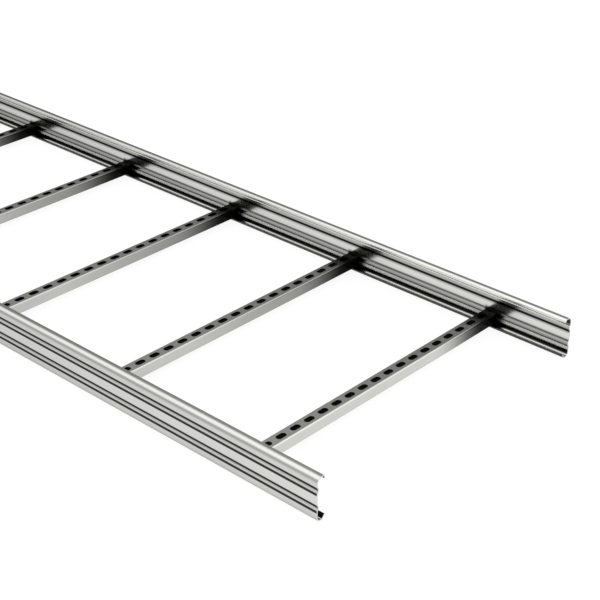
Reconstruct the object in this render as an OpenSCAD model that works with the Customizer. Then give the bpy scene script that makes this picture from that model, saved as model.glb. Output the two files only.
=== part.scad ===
// Cable ladder section: two roll-formed side rails joined by twelve slotted rungs.
// X runs along the rails, Y across the ladder and Z up. The origin is the middle of
// the ladder on the floor that its two bottom hems stand on. All sizes are in mm.

/* [Ladder] */
// Overall width over the outer faces of the two side rails
ladder_w = 500; // [200:10:900]
// Distance from one rung centre to the next along the rails
rung_pitch = 250; // [200:10:300]
// Thickness of the sheet that the rails and rungs are formed from
sheet_t = 1.5; // [1.2:0.1:1.8]

/* [Side rail] */
// Height of a side rail from the floor to the top of its flange
rail_h = 60; // [56:1:100]
// Width of the top flange, measured inward from the outer face
flange_w = 13.5; // [13:0.5:18]
// Drop of the top flange's turned-down inner edge
flange_drop = 5; // [4.5:0.5:6.5]
// Outside radius of the broad bend between the web and the top flange
shoulder_r = 8; // [4:0.5:8.5]
// Outside radius of the bend at the inner edge of the top flange
edge_r = 3.6; // [2.4:0.2:4]
// Outside radius of the broad bend between the web and the bottom flange
hem_r = 7; // [4:0.5:7]
// Distance from the outer face at which the hem's lip would meet the floor
hem_w = 9.3; // [9.3:0.1:10.5]
// Outside radius of the bend from the bottom flange to the hem's lip
lip_r = 4; // [3:0.5:4]
// Slope of the hem's lip, measured from the floor
hem_slope = 50; // [45:1:60]
// Depth that the two lengthwise grooves are pressed in from the outer face
groove_depth = 1.8; // [1.2:0.1:2.2]
// Width of each groove over the tops of its sloping sides
groove_w = 8; // [7:0.5:10]
// Height of the centre line of the lower groove above the floor
low_groove_z = 19.6; // [18:0.2:22]
// Distance of the centre line of the upper groove below the top of the rail
high_groove_drop = 16.7; // [15:0.1:20]

/* [Rung] */
// Width of a rung along the rails
rung_w = 20; // [18:1:30]
// Height of a rung
rung_h = 16.4; // [15:0.1:17]
// Outside radius of a rung's long edges
rung_edge_r = 2.1; // [2:0.1:2.5]
// Width of each lip turned in under a rung, measured from its side face
rung_lip = 5; // [4:0.5:6]
// Length of a rung slot from end to end, along the rung
slot_len = 14; // [10:1:16]
// Width of a rung slot
slot_w = 7; // [5:0.5:9]
// Distance from one slot centre to the next along the rung
slot_pitch = 25; // [20:1:40]

/* [Hidden] */
// Each rung is a node of its own, so their number is fixed
rung_count = 12;
ladder_len = rung_count*rung_pitch;
first_rung_x = -ladder_len/2 + rung_pitch/2;
// Distance from the sheet's centre plane to either skin
half_t = sheet_t/2;
// A rung stands on the tips of the hem lips and butts against the two ridges
lip_top_z = 6.6;
rung_len = ladder_w - 2*(sheet_t + groove_depth);
// The slots are centred on the rung, with a whole number of them to each side
slot_end_gap = 5;
slots_a_side = floor((rung_len/2 - slot_len/2 - slot_end_gap)/slot_pitch);
slot_r = slot_w/2;
// Small bends beside the grooves
groove_bend_r = sheet_t*0.8;
groove_side = 1.3;
$fn = 48;
eps = 0.5;

steel_rail = [0.80, 0.80, 0.79];
steel_rung = [0.74, 0.74, 0.73];

// Unit direction from one point to another, and the direction to its left
function heading(p, q) = (q - p)/norm(q - p);
function left(d) = [-d[1], d[0]];
function turned(d, a) = [d[0]*cos(a) - d[1]*sin(a), d[0]*sin(a) + d[1]*cos(a)];

// One skin of a bent sheet at a corner b between a and c. r is the bend radius of
// the sheet's centre line, and s is the skin's distance to the left of that line.
function bend(a, b, c, r, s) =
    let(
        d1 = heading(a, b),
        d2 = heading(b, c),
        turn = atan2(d1[0]*d2[1] - d1[1]*d2[0], d1*d2),
        side = sign(turn),
        steps = ceil(4 + 1.2*r),
        centre = b - d1*r*tan(abs(turn)/2) + side*r*left(d1)
    )
    [for (i = [0:steps]) centre + (s - side*r)*left(turned(d1, turn*i/steps))];

// A whole skin: its two ends are square to the sheet, and every corner is a bend
function skin(path, radii, s) =
    let(n = len(path))
    concat(
        [path[0] + s*left(heading(path[0], path[1]))],
        [for (i = [1:n - 2]) each bend(path[i - 1], path[i], path[i + 1], radii[i], s)],
        [path[n - 1] + s*left(heading(path[n - 2], path[n - 1]))]
    );

function reversed(list) = [for (i = [len(list) - 1:-1:0]) list[i]];

// Closed outline of a sheet that follows a path of corners
function sheet_outline(path, radii) =
    concat(skin(path, radii, half_t), reversed(skin(path, radii, -half_t)));

// Rail section: first coordinate inward from the outer face, second upward
high_groove_z = rail_h - high_groove_drop;
web_u = half_t;
floor_u = groove_depth + half_t;
// The hem's lip rises at hem_slope and ends with its upper corner at lip_top_z
lip_end_z = lip_top_z - half_t*cos(hem_slope);
lip_corner_u = hem_w - half_t/sin(hem_slope) + half_t/tan(hem_slope);
lip_end_u = lip_corner_u + (lip_end_z - half_t)/tan(hem_slope);

rail_path = [
    [lip_end_u, lip_end_z],
    [lip_corner_u, half_t],
    [web_u, half_t],
    [web_u, low_groove_z - groove_w/2],
    [floor_u, low_groove_z - groove_w/2 + groove_side],
    [floor_u, low_groove_z + groove_w/2 - groove_side],
    [web_u, low_groove_z + groove_w/2],
    [web_u, high_groove_z - groove_w/2],
    [floor_u, high_groove_z - groove_w/2 + groove_side],
    [floor_u, high_groove_z + groove_w/2 - groove_side],
    [web_u, high_groove_z + groove_w/2],
    [web_u, rail_h - half_t],
    [flange_w - half_t, rail_h - half_t],
    [flange_w - half_t, rail_h - flange_drop]
];
rail_radii = [
    0, lip_r - half_t, hem_r - half_t,
    groove_bend_r, groove_bend_r, groove_bend_r, groove_bend_r,
    groove_bend_r, groove_bend_r, groove_bend_r, groove_bend_r,
    shoulder_r - half_t, edge_r - half_t, 0
];

// Rung section: first coordinate along the rails, second upward from the rung's underside
rung_path = [
    [-rung_w/2 + rung_lip, half_t],
    [-rung_w/2 + half_t, half_t],
    [-rung_w/2 + half_t, rung_h - half_t],
    [rung_w/2 - half_t, rung_h - half_t],
    [rung_w/2 - half_t, half_t],
    [rung_w/2 - rung_lip, half_t]
];
rung_bend = rung_edge_r - half_t;
rung_radii = [0, rung_bend, rung_bend, rung_bend, rung_bend, 0];

// A rail whose outer face looks along -Y, with its flanges pointing to +Y
module rail_bar() {
    rotate([90, 0, 90])
        linear_extrude(height = ladder_len, center = true)
            polygon(sheet_outline(rail_path, rail_radii));
}

// A slot with round ends through the top of a rung, its length along Y
module slot_cutter() {
    straight = slot_len - slot_w;
    depth = sheet_t + 2*eps;
    translate([0, -straight/2, rung_h - sheet_t - eps])
        cylinder(r = slot_r, h = depth);
    translate([0, straight/2, rung_h - sheet_t - eps])
        cylinder(r = slot_r, h = depth);
    translate([-slot_r, -straight/2, rung_h - sheet_t - eps])
        cube([slot_w, straight, depth]);
}

// The side rail at -Y
module side_rail_left() {
    color(steel_rail)
        translate([0, -ladder_w/2, 0])
            rail_bar();
}

// The side rail at +Y, the other one's mirror image
module side_rail_right() {
    color(steel_rail)
        mirror([0, 1, 0])
            translate([0, -ladder_w/2, 0])
                rail_bar();
}

// A rung, counted from the -X end of the ladder
module rung(number) {
    color(steel_rung)
        translate([first_rung_x + (number - 1)*rung_pitch, 0, lip_top_z])
            difference() {
                rotate([90, 0, 0])
                    linear_extrude(height = rung_len, center = true)
                        polygon(sheet_outline(rung_path, rung_radii));
                for (i = [-slots_a_side:slots_a_side])
                    translate([0, i*slot_pitch, 0])
                        slot_cutter();
            }
}

side_rail_left();
side_rail_right();
rung(1);  // rung_01
rung(2);  // rung_02
rung(3);  // rung_03
rung(4);  // rung_04
rung(5);  // rung_05
rung(6);  // rung_06
rung(7);  // rung_07
rung(8);  // rung_08
rung(9);  // rung_09
rung(10);  // rung_10
rung(11);  // rung_11
rung(12);  // rung_12
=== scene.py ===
import math
import bpy
from mathutils import Matrix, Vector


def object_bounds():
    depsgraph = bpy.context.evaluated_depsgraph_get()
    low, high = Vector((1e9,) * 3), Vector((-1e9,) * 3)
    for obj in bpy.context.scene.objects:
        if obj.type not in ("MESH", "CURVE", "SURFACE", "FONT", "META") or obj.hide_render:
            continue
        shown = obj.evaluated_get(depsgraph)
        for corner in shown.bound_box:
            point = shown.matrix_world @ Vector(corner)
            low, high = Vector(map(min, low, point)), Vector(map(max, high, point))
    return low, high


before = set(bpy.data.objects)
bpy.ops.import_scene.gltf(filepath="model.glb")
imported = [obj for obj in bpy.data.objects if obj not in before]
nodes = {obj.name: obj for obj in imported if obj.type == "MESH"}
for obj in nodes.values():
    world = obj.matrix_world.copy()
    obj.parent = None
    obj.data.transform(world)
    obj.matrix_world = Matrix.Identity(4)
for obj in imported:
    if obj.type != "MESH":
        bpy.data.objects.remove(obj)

cad_low, cad_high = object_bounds()

# ---------------------------------------------------------------------------
# Camera: a long lens that looks down along the ladder from beyond its +X end,
# over the left rail. It stands a metre above the floor, turned a hair out of level.
view_turn = math.radians(42.542)
view_height = math.radians(28.638)
view_roll = math.radians(0.213)
camera_data = bpy.data.cameras.new("studio_camera")
camera_data.sensor_width = 36.0
camera_data.lens = 89.27
camera_data.clip_start = 0.05
camera_data.clip_end = 60.0
camera = bpy.data.objects.new("studio_camera", camera_data)
bpy.context.scene.collection.objects.link(camera)
camera.matrix_world = (
    Matrix.Translation((2.39137, -1.25004, 1.01559))
    @ Matrix.Rotation(view_turn, 4, "Z")
    @ Matrix.Rotation(math.pi / 2 - view_height, 4, "X")
    @ Matrix.Rotation(view_roll, 4, "Z")
)
bpy.context.scene.camera = camera
bpy.context.scene.view_settings.view_transform = "Standard"

# ---------------------------------------------------------------------------
# Side rails: roll-formed from bright galvanised sheet, 1.5 mm thick, with two
# pressed grooves, a turned-down flange on top and a hem below. Faint lines run
# along the zinc. The shade in its creases and pockets is painted in by place.
sheet_t = 0.0015
rail_h = 0.060
half_length = 1.500
half_ladder = 0.250
groove_half = 0.004
low_groove = 0.0196
high_groove = rail_h - 0.0167
# The flange's drop and the hem's lip lie deeper than this behind the outer face
lips_inset = 0.0050
rung_pitch = 0.250
first_rung = rung_pitch / 2 - half_length
rung_top = 0.023
# Painted light: the rails and the tops of the rungs are painted brighter along X between these two places
painted_dim_until = 0.40
painted_bright_from = 1.45
rail_bright = (0.755, 0.757, 0.724, 1.0)
rail_dull = (0.690, 0.692, 0.660, 1.0)


def zinc_bloom_group():
    """Cloudy zinc and fine roll lines: colour, roughness and height over a sheet."""
    group = bpy.data.node_groups.new("zinc_bloom", "ShaderNodeTree")
    face = group.interface
    face.new_socket("Base", in_out="INPUT", socket_type="NodeSocketColor")
    face.new_socket("Dull", in_out="INPUT", socket_type="NodeSocketColor")
    for name, value in (
        ("Tone", 1.0),
        ("Cloud Scale", 9.0),
        ("Line Scale", 700.0),
        ("Line Amount", 0.5),
        ("Roughness Low", 0.16),
        ("Roughness High", 0.24),
    ):
        socket = face.new_socket(name, in_out="INPUT", socket_type="NodeSocketFloat")
        socket.default_value = value
    face.new_socket("Along", in_out="INPUT", socket_type="NodeSocketVector")
    face.new_socket("Color", in_out="OUTPUT", socket_type="NodeSocketColor")
    face.new_socket("Roughness", in_out="OUTPUT", socket_type="NodeSocketFloat")
    face.new_socket("Height", in_out="OUTPUT", socket_type="NodeSocketFloat")
    n, link = group.nodes, group.links.new
    given = n.new("NodeGroupInput")
    out = n.new("NodeGroupOutput")
    where = n.new("ShaderNodeTexCoord")
    stretch = n.new("ShaderNodeVectorMath")
    stretch.operation = "MULTIPLY"
    link(where.outputs["Object"], stretch.inputs[0])
    link(given.outputs["Along"], stretch.inputs[1])
    cloud = n.new("ShaderNodeTexNoise")
    cloud.inputs["Detail"].default_value = 4.0
    cloud.inputs["Roughness"].default_value = 0.6
    link(where.outputs["Object"], cloud.inputs["Vector"])
    link(given.outputs["Cloud Scale"], cloud.inputs["Scale"])
    lines = n.new("ShaderNodeTexNoise")
    lines.inputs["Detail"].default_value = 3.0
    link(stretch.outputs[0], lines.inputs["Vector"])
    link(given.outputs["Line Scale"], lines.inputs["Scale"])
    both = n.new("ShaderNodeMix")
    both.data_type = "FLOAT"
    link(given.outputs["Line Amount"], both.inputs["Factor"])
    link(cloud.outputs["Fac"], both.inputs["A"])
    link(lines.outputs["Fac"], both.inputs["B"])
    contrast = n.new("ShaderNodeMapRange")
    contrast.inputs["From Min"].default_value = 0.3
    contrast.inputs["From Max"].default_value = 0.7
    link(both.outputs["Result"], contrast.inputs["Value"])
    tint = n.new("ShaderNodeMix")
    tint.data_type = "RGBA"
    link(contrast.outputs["Result"], tint.inputs["Factor"])
    link(given.outputs["Dull"], tint.inputs["A"])
    link(given.outputs["Base"], tint.inputs["B"])
    darkened = n.new("ShaderNodeVectorMath")
    darkened.operation = "SCALE"
    link(tint.outputs["Result"], darkened.inputs[0])
    link(given.outputs["Tone"], darkened.inputs["Scale"])
    rough = n.new("ShaderNodeMapRange")
    link(contrast.outputs["Result"], rough.inputs["Value"])
    link(given.outputs["Roughness High"], rough.inputs["To Min"])
    link(given.outputs["Roughness Low"], rough.inputs["To Max"])
    link(darkened.outputs[0], out.inputs["Color"])
    link(rough.outputs["Result"], out.inputs["Roughness"])
    link(lines.outputs["Fac"], out.inputs["Height"])
    return group


zinc_bloom = zinc_bloom_group()


def calc(tree, kind, a, b=None):
    """One Math node; a and b are sockets or plain numbers."""
    node = tree.nodes.new("ShaderNodeMath")
    node.operation = kind
    for slot, given in enumerate((a, b)):
        if given is None:
            continue
        if isinstance(given, (int, float)):
            node.inputs[slot].default_value = given
        else:
            tree.links.new(given, node.inputs[slot])
    return node.outputs[0]


def times(tree, first, *others):
    """Product of masks, tones or plain numbers."""
    product = first
    for other in others:
        product = calc(tree, "MULTIPLY", product, other)
    return product


def rises(tree, value, low, high):
    """0 below low and 1 above high, with a soft step between them."""
    node = tree.nodes.new("ShaderNodeMapRange")
    node.interpolation_type = "SMOOTHSTEP"
    node.inputs["From Min"].default_value = low
    node.inputs["From Max"].default_value = high
    tree.links.new(value, node.inputs["Value"])
    return node.outputs["Result"]


def falls(tree, value, low, high):
    """1 below low and 0 above high, with a soft step between them."""
    return calc(tree, "SUBTRACT", 1.0, rises(tree, value, low, high))


def shades(tree, value, low, high, at_low, at_high):
    """A tone that runs evenly from at_low at low to at_high at high."""
    node = tree.nodes.new("ShaderNodeMapRange")
    for name, given in (("From Min", low), ("From Max", high), ("To Min", at_low), ("To Max", at_high)):
        node.inputs[name].default_value = given
    tree.links.new(value, node.inputs["Value"])
    return node.outputs["Result"]


def blended(tree, mask, a, b):
    """a where the mask is 0 and b where it is 1."""
    node = tree.nodes.new("ShaderNodeMix")
    node.data_type = "FLOAT"
    tree.links.new(mask, node.inputs["Factor"])
    for slot, given in (("A", a), ("B", b)):
        if isinstance(given, (int, float)):
            node.inputs[slot].default_value = given
        else:
            tree.links.new(given, node.inputs[slot])
    return node.outputs["Result"]


def tones_up(tree, height, stops):
    """Tone by height over the floor, as (height, tone) stops from the floor up."""
    share = tree.nodes.new("ShaderNodeMapRange")
    share.inputs["From Max"].default_value = rail_h
    tree.links.new(height, share.inputs["Value"])
    ramp = tree.nodes.new("ShaderNodeValToRGB")
    tree.links.new(share.outputs["Result"], ramp.inputs["Fac"])
    marks = ramp.color_ramp.elements
    while len(marks) > 1:
        marks.remove(marks[-1])
    for count, (at, tone) in enumerate(stops):
        mark = marks[0] if count == 0 else marks.new(at / rail_h)
        mark.position = at / rail_h
        mark.color = (tone, tone, tone, 1.0)
    return ramp.outputs["Color"]


def past_nearest(tree, value, pitch):
    """How far a value lies past the nearest whole multiple of the pitch."""
    steps = times(tree, value, 1 / pitch)
    return times(tree, calc(tree, "SUBTRACT", steps, calc(tree, "ROUND", steps)), pitch)


def place_on_ladder(tree):
    """Place and direction of the surface, and how far past the nearest rung it is."""
    where = tree.nodes.new("ShaderNodeTexCoord")
    place = tree.nodes.new("ShaderNodeSeparateXYZ")
    faces = tree.nodes.new("ShaderNodeSeparateXYZ")
    tree.links.new(where.outputs["Object"], place.inputs[0])
    tree.links.new(where.outputs["Normal"], faces.inputs[0])
    past_first = calc(tree, "SUBTRACT", place.outputs["X"], first_rung)
    return place.outputs, faces.outputs, past_nearest(tree, past_first, rung_pitch)


def outer_skin_tone(tree, place):
    """Painted shade: a dark line along each edge of each groove, darker groove floors, and a dim
    line where the web runs into the broad bend under the flange."""
    stops = [(0.0, 0.82), (0.004, 0.78)]
    for middle, below, above in ((low_groove, 0.88, 0.95), (high_groove, 0.95, 0.90)):
        under, over = middle - groove_half, middle + groove_half
        stops += [(under - 0.0030, below), (under - 0.0023, 0.04)]
        stops += [(under + 0.0003, 0.04), (under + 0.0011, 0.66)]
        stops += [(over - 0.0046, 0.66), (over - 0.0038, 0.04)]
        stops += [(over + 0.0003, 0.04), (over + 0.0012, above)]
    stops += [(0.0524, 0.88), (0.0540, 0.78), (0.0551, 0.46), (0.0565, 0.38)]
    stops += [(0.0572, 0.58), (0.0580, 0.88), (0.0588, 1.0)]
    return tones_up(tree, place["Z"], stops)


def inner_skin_tone(tree, place, past, at_cut_end):
    """Painted shade: darker ridges with dark creases beside them, a black pocket over the hem and
    another under the flange at the cut ends. There is also a black blot where each rung meets the rail."""
    stops = [(0.0, 1.0), (0.0026, 0.95), (0.0038, 0.03), (0.0080, 0.03)]
    stops += [(0.0094, 0.35), (0.0106, 0.90), (0.0136, 1.0), (0.0146, 0.22)]
    stops += [(0.0168, 0.18), (0.0178, 0.30), (0.0216, 0.62), (0.0226, 0.24)]
    stops += [(0.0242, 0.20), (0.0256, 0.80), (0.0280, 0.95), (0.0330, 0.95)]
    stops += [(0.0345, 0.70), (0.0362, 0.45), (0.0368, 0.02), (0.0408, 0.02)]
    stops += [(0.0417, 0.50), (0.0452, 0.60), (0.0462, 1.0), (0.0590, 1.0)]
    tone = tones_up(tree, place["Z"], stops)
    # Painted shade: black in the pocket under the flange at the cut ends
    pocket_shade = times(tree, at_cut_end, rises(tree, place["Z"], 0.0470, 0.0490))
    tone = blended(tree, pocket_shade, tone, 0.04)
    beyond = rises(tree, past, 0.013, 0.027)
    before = falls(tree, past, -0.013, -0.009)
    above = rises(tree, place["Z"], rung_top, rung_top + 0.007)
    off_joint = calc(tree, "MAXIMUM", calc(tree, "MAXIMUM", beyond, before), above)
    return times(tree, tone, blended(tree, off_joint, 0.03, 1.0))


def lips_tone(tree, place, faces, outward, at_cut_end):
    """The flange, its drop and the hem's lip, with painted shade: the hem's lip is black in front, and
    the backs of both are darker. At the cut ends those backs and the flange's underside are black."""
    lip_back = rises(tree, outward, 0.4, 0.6)
    lip_front = times(tree, falls(tree, outward, -0.6, -0.3), falls(tree, place["Z"], 0.008, 0.010))
    flange_under = times(tree, falls(tree, faces["Z"], -0.8, -0.5), rises(tree, place["Z"], 0.050, 0.052))
    tone = blended(tree, lip_back, 1.0, blended(tree, at_cut_end, 0.65, 0.03))
    tone = blended(tree, lip_front, tone, 0.05)
    return blended(tree, flange_under, tone, blended(tree, at_cut_end, 1.0, 0.06))


def painted_light_to_end(tree, place, dimmest, brightest):
    """A painted light: a tone that is brightest towards the +X end of the ladder."""
    return shades(tree, place["X"], painted_dim_until, painted_bright_from, dimmest, brightest)


def roll_zinc_onto(mat, tone, bright, dull_and_shaded, roughness, along):
    """Gives a material the zinc bloom; roughness is its (low, high), and along is
    small on the axis that the lines run along."""
    n, link = mat.node_tree.nodes, mat.node_tree.links.new
    bloom = n.new("ShaderNodeGroup")
    bloom.node_tree = zinc_bloom
    bloom.inputs["Base"].default_value = bright
    bloom.inputs["Dull"].default_value = dull_and_shaded
    bloom.inputs["Roughness Low"].default_value = roughness[0]
    bloom.inputs["Roughness High"].default_value = roughness[1]
    bloom.inputs["Along"].default_value = along
    link(tone, bloom.inputs["Tone"])
    bump = n.new("ShaderNodeBump")
    bump.inputs["Strength"].default_value = 0.05
    bump.inputs["Distance"].default_value = 0.0002
    shader = n["Principled BSDF"]
    shader.inputs["Specular Tint"].default_value = (0.5, 0.5, 0.5, 1.0)
    link(bloom.outputs["Color"], shader.inputs["Base Color"])
    link(bloom.outputs["Roughness"], shader.inputs["Roughness"])
    link(bloom.outputs["Height"], bump.inputs["Height"])
    link(bump.outputs["Normal"], shader.inputs["Normal"])
    return shader


def rail_zinc():
    """Bright rolled zinc, with its lines along X, painted shade in creases and pockets, and painted light
    along X.
    """
    mat = bpy.data.materials.new("rail_zinc")
    mat.use_nodes = True
    tree = mat.node_tree
    place, faces, past = place_on_ladder(tree)
    outward = times(tree, faces["Y"], calc(tree, "SIGN", place["Y"]))
    inset = calc(tree, "SUBTRACT", half_ladder, calc(tree, "ABSOLUTE", place["Y"]))
    deep = rises(tree, inset, lips_inset, lips_inset + 0.0006)
    from_middle = calc(tree, "ABSOLUTE", place["X"])
    at_cut_end = rises(tree, from_middle, half_length - 0.030, half_length - 0.015)

    outer_tone = outer_skin_tone(tree, place)
    inner_tone = inner_skin_tone(tree, place, past, at_cut_end)
    web = blended(tree, rises(tree, outward, 0.15, 0.4), 1.0, outer_tone)
    web = blended(tree, falls(tree, outward, -0.4, -0.15), web, inner_tone)
    # Painted light: the web and the lips grow brighter towards the +X end
    web = times(tree, web, painted_light_to_end(tree, place, 0.86, 1.0))
    lips = lips_tone(tree, place, faces, outward, at_cut_end)
    lips = times(tree, lips, painted_light_to_end(tree, place, 0.70, 1.04))
    tone = blended(tree, deep, web, lips)

    # A matt strip runs low along the inner skin
    strip_low = rises(tree, place["Z"], 0.0090, 0.0098)
    strip_high = falls(tree, place["Z"], 0.0142, 0.0148)
    inner_side = times(tree, falls(tree, outward, -0.7, -0.5), calc(tree, "SUBTRACT", 1.0, deep))
    matt = times(tree, strip_low, strip_high, inner_side)

    shader = roll_zinc_onto(mat, tone, rail_bright, rail_dull, (0.16, 0.24), (0.01, 1.0, 1.0))
    tree.links.new(calc(tree, "SUBTRACT", 1.0, matt), shader.inputs["Metallic"])
    return mat


rail_material = rail_zinc()
for name in ("side_rail_left", "side_rail_right"):
    nodes[name].data.materials.clear()
    nodes[name].data.materials.append(rail_material)

# ---------------------------------------------------------------------------
# Rungs: galvanised strip, slotted and bent into a channel that is open below, set
# between the rails. The zinc is duller than the rails'. The black inside, the dark
# rims of the slots and the dark ends are painted shade.
last_rung = -first_rung
rung_half_w = 0.010
rung_inside = rung_half_w - sheet_t
rung_low = 0.0066
rung_end = half_ladder - 0.0033
slot_len = 0.014
slot_w = 0.007
slot_pitch = 0.025
rung_bright = (0.700, 0.702, 0.668, 1.0)
rung_dull = (0.630, 0.632, 0.600, 1.0)


def rung_side_tone(tree, place):
    """All sides but the last rung's carry painted shade: greyer towards +Y, and a little darker as well.
    """
    painted_shade = times(
        tree,
        shades(tree, place["X"], last_rung - rung_pitch, last_rung, 1.0, 0.0),
        shades(tree, place["Y"], -0.10, 0.125, 0.11, 0.56),
    )
    dull_and_shaded = shades(tree, place["X"], last_rung - 2 * rung_pitch, last_rung, 0.875, 0.98)
    return times(tree, calc(tree, "SUBTRACT", 1.0, painted_shade), dull_and_shaded)


def rung_top_tone(tree, place):
    """The top carries painted shade, greyer towards +Y, most of all near the +X end, and painted light
    towards the +X end.
    """
    painted_shade = times(
        tree,
        shades(tree, place["X"], 0.5, 1.2, 0.3, 1.0),
        shades(tree, place["Y"], -0.20, 0.15, 0.04, 0.44),
    )
    return times(tree, calc(tree, "SUBTRACT", 1.24, painted_shade), painted_light_to_end(tree, place, 0.78, 0.98))


def rung_ends_tone(tree, place, on_side):
    """Painted shade: dark towards both ends, and over a longer stretch at the +Y rail."""
    to_far_end = calc(tree, "SUBTRACT", rung_end, place["Y"])
    to_near_end = calc(tree, "ADD", rung_end, place["Y"])
    far_top = rises(tree, to_far_end, 0.016, 0.095)
    far_side = rises(tree, to_far_end, 0.034, 0.142)
    far_end = blended(tree, on_side, far_top, far_side)
    return blended(tree, times(tree, far_end, rises(tree, to_near_end, 0.0, 0.016)), 0.03, 1.0)


def slot_rims_tone(tree, place, past):
    """Painted shade round the rim of each slot; past is the distance across the rung."""
    along = calc(tree, "ABSOLUTE", past_nearest(tree, place["Y"], slot_pitch))
    past_straight = calc(tree, "MAXIMUM", calc(tree, "SUBTRACT", along, (slot_len - slot_w) / 2), 0.0)
    square = calc(tree, "ADD", times(tree, past_straight, past_straight), times(tree, past, past))
    off_rim = rises(tree, calc(tree, "SQRT", square), slot_w / 2 + 0.0005, slot_w / 2 + 0.0012)
    return blended(tree, off_rim, 0.04, 1.0)


def rung_zinc():
    """Dull zinc outside, with painted shade: black inside, dark towards the ends."""
    mat = bpy.data.materials.new("rung_zinc")
    mat.use_nodes = True
    tree = mat.node_tree
    place, faces, past = place_on_ladder(tree)
    on_side = falls(tree, faces["Z"], 0.6, 0.95)
    tone = blended(tree, on_side, rung_top_tone(tree, place), rung_side_tone(tree, place))
    tone = times(tree, rung_ends_tone(tree, place, on_side), tone, slot_rims_tone(tree, place, past))

    beside = calc(tree, "ABSOLUTE", past)
    in_channel = falls(tree, beside, rung_inside + 0.0002, rung_inside + 0.0006)
    not_top = falls(tree, faces["Z"], 0.4, 0.6)
    over_lips = rises(tree, place["Z"], rung_low + 0.0004, rung_low + 0.0008)
    under_top = falls(tree, faces["Z"], -0.8, -0.5)
    inside = times(tree, in_channel, not_top, over_lips)
    # Painted shade: black inside the channel, a little lighter under the top
    tone = blended(tree, inside, tone, blended(tree, under_top, 0.008, 0.20))

    shader = roll_zinc_onto(mat, tone, rung_bright, rung_dull, (0.20, 0.30), (1.0, 0.01, 1.0))
    shader.inputs["Metallic"].default_value = 1.0
    return mat


rung_material = rung_zinc()
for name, node in nodes.items():
    if name.startswith("rung_"):
        node.data.materials.clear()
        node.data.materials.append(rung_material)

# ---------------------------------------------------------------------------
# Floor: a wide white board that the ladder's hems stand on. What looks at it
# directly or in the metal sees it white, and it keeps the soft shadow.
floor_half = 14.0
floor_gap = 0.0005
floor_corners = [(x * floor_half, y * floor_half, 0) for x, y in ((-1, -1), (1, -1), (1, 1), (-1, 1))]
floor_mesh = bpy.data.meshes.new("floor")
floor_mesh.from_pydata(floor_corners, [], [(0, 1, 2, 3)])
floor = bpy.data.objects.new("floor", floor_mesh)
bpy.context.scene.collection.objects.link(floor)
floor.location.z = cad_low.z - floor_gap
board = bpy.data.materials.new("white_board")
board.use_nodes = True
n, link = board.node_tree.nodes, board.node_tree.links.new
n["Principled BSDF"].inputs["Base Color"].default_value = (0.12, 0.12, 0.12, 1.0)
n["Principled BSDF"].inputs["Roughness"].default_value = 0.9
n["Principled BSDF"].inputs["Specular IOR Level"].default_value = 0.0
board_ray = n.new("ShaderNodeLightPath")
seen_white = n.new("ShaderNodeMath")
seen_white.operation = "MAXIMUM"
link(board_ray.outputs["Is Camera Ray"], seen_white.inputs[0])
link(board_ray.outputs["Is Glossy Ray"], seen_white.inputs[1])
lift = n.new("ShaderNodeMath")
lift.operation = "MULTIPLY"
lift.inputs[1].default_value = 0.90
link(seen_white.outputs[0], lift.inputs[0])
glow = n.new("ShaderNodeEmission")
link(lift.outputs[0], glow.inputs["Strength"])
shaded_and_lifted = n.new("ShaderNodeAddShader")
link(n["Principled BSDF"].outputs["BSDF"], shaded_and_lifted.inputs[0])
link(glow.outputs["Emission"], shaded_and_lifted.inputs[1])
link(shaded_and_lifted.outputs["Shader"], n["Material Output"].inputs["Surface"])
floor_mesh.materials.append(board)

# ---------------------------------------------------------------------------
# Light: soft, even light from all round and above, with one dark screen beyond
# the -X end on the +Y side, which the flat tops of the metal mirror.
world = bpy.data.worlds.new("pale_room")
bpy.context.scene.world = world
world.use_nodes = True
n, link = world.node_tree.nodes, world.node_tree.links.new
towards = n.new("ShaderNodeTexCoord")
at_screen = n.new("ShaderNodeVectorMath")
at_screen.operation = "DOT_PRODUCT"
at_screen.inputs[1].default_value = (-0.678, 0.735, 0.0)
link(towards.outputs["Generated"], at_screen.inputs[0])
screen = n.new("ShaderNodeMapRange")
screen.interpolation_type = "SMOOTHSTEP"
screen.inputs["From Min"].default_value = 0.36
screen.inputs["From Max"].default_value = 0.82
screen.inputs["To Min"].default_value = 1.30
screen.inputs["To Max"].default_value = 0.30
link(at_screen.outputs["Value"], screen.inputs["Value"])
room = n["Background"]
room.inputs["Color"].default_value = (1.0, 1.0, 1.0, 1.0)
link(screen.outputs["Result"], room.inputs["Strength"])
backdrop = n.new("ShaderNodeBackground")
backdrop.inputs["Color"].default_value = (1.0, 1.0, 1.0, 1.0)
backdrop.inputs["Strength"].default_value = 1.0
room_ray = n.new("ShaderNodeLightPath")
room_or_backdrop = n.new("ShaderNodeMixShader")
link(room_ray.outputs["Is Camera Ray"], room_or_backdrop.inputs["Fac"])
link(room.outputs["Background"], room_or_backdrop.inputs[1])
link(backdrop.outputs["Background"], room_or_backdrop.inputs[2])
link(room_or_backdrop.outputs["Shader"], n["World Output"].inputs["Surface"])
